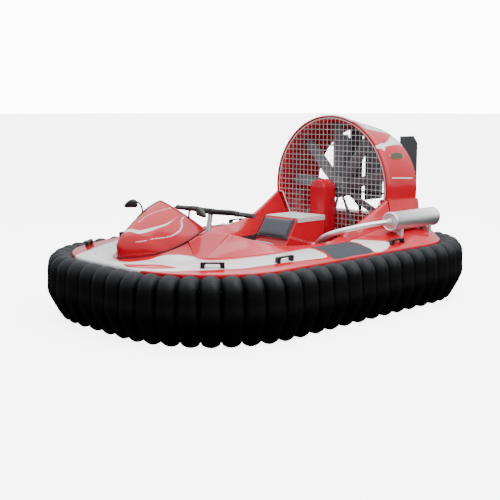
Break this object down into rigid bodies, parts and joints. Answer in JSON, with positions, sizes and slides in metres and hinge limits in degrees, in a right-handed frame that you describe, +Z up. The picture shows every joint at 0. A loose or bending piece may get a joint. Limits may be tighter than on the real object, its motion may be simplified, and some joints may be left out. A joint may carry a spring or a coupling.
{
  "type": "small single-seat hovercraft",
  "caption": "Small open hovercraft with a segmented rubber skirt, nose cowl, open cockpit, ducted stern fan and steered rudders.",
  "frame": {"origin": "on the floor, under the middle of the craft's box", "axes": "+X to the bow, +Y to port, +Z up"},
  "size_m": [2.952, 2.058, 1.304],
  "materials": {
    "red_gelcoat": "gloss",
    "skirt_rubber": "satin",
    "hull_laminate": "matte",
    "black_plastic": "satin",
    "grip_rubber": "matte",
    "backrest_vinyl": "satin",
    "cushion_vinyl": "satin",
    "alloy": "satin",
    "guard_wire": "bright",
    "iron": "matte",
    "fan_composite": "satin",
    "rudder_laminate": "satin"
  },
  "bodies": {
    "root": {"body_side_port": "red_gelcoat", "body_side_starboard": "red_gelcoat", "bow_plinth": "red_gelcoat", "tail_body": "red_gelcoat", "duct_shell": "red_gelcoat", "nose_cowl": "red_gelcoat", "deck": "red_gelcoat", "seat_base": "red_gelcoat", "engine_cover": "red_gelcoat", "belt_guard": "red_gelcoat", "skirt_bow": "skirt_rubber", "skirt_port": "skirt_rubber", "skirt_stern": "skirt_rubber", "skirt_starboard": "skirt_rubber", "hull_lower": "hull_laminate", "landing_skid_port": "hull_laminate", "landing_skid_starboard": "hull_laminate", "dash_panel": "black_plastic", "duct_fin": "black_plastic", "mirror_port": "black_plastic", "mirror_starboard": "black_plastic", "rudder_rail_upper": "black_plastic", "rudder_rail_lower": "black_plastic", "handle_bow_port": "black_plastic", "handle_bow_starboard": "black_plastic", "handle_mid_port": "black_plastic", "handle_mid_starboard": "black_plastic", "handle_stern_port": "black_plastic", "handle_stern_starboard": "black_plastic", "seat_backrest": "backrest_vinyl", "seat_cushion": "cushion_vinyl", "engine_cover_plate": "alloy", "muffler": "alloy", "muffler_cradle_front": "alloy", "muffler_cradle_rear": "alloy", "exhaust_pipe": "alloy", "steering_column": "alloy", "fan_guard": "guard_wire", "engine_block": "iron", "fan_shaft": "iron"},
    "fan": {"fan": "fan_composite"},
    "bars": {"handlebar": "black_plastic", "grip_port": "grip_rubber", "grip_starboard": "grip_rubber"},
    "rudder_port": {"rudder_port": "rudder_laminate"},
    "rudder_centre": {"rudder_centre": "rudder_laminate"},
    "rudder_starboard": {"rudder_starboard": "rudder_laminate"}
  },
  "joints": [
    {"name": "fan_spin", "type": "hinge", "parent": "root", "child": "fan", "pos_m": [-0.845, 0, 0.755], "axis": [1, 0, 0], "continuous": true},
    {"name": "steering", "type": "hinge", "parent": "root", "child": "bars", "pos_m": [0.488, 0, 0.65], "axis": [-0.1994, 0, 0.9799], "range_deg": [-35, 35]},
    {"name": "rudder_port_turn", "type": "hinge", "parent": "root", "child": "rudder_port", "pos_m": [-1.157, 0.33, 0.635], "axis": [0, 0, 1], "range_deg": [-30, 30]},
    {"name": "rudder_centre_turn", "type": "hinge", "parent": "root", "child": "rudder_centre", "pos_m": [-1.157, 0, 0.635], "axis": [0, 0, 1], "range_deg": [-30, 30]},
    {"name": "rudder_starboard_turn", "type": "hinge", "parent": "root", "child": "rudder_starboard", "pos_m": [-1.157, -0.33, 0.635], "axis": [0, 0, 1], "range_deg": [-30, 30]}
  ],
  "couplings": [
    {"joint": "rudder_port_turn", "follows": "steering", "ratio": -0.857},
    {"joint": "rudder_centre_turn", "follows": "steering", "ratio": -0.857},
    {"joint": "rudder_starboard_turn", "follows": "steering", "ratio": -0.857}
  ]
}
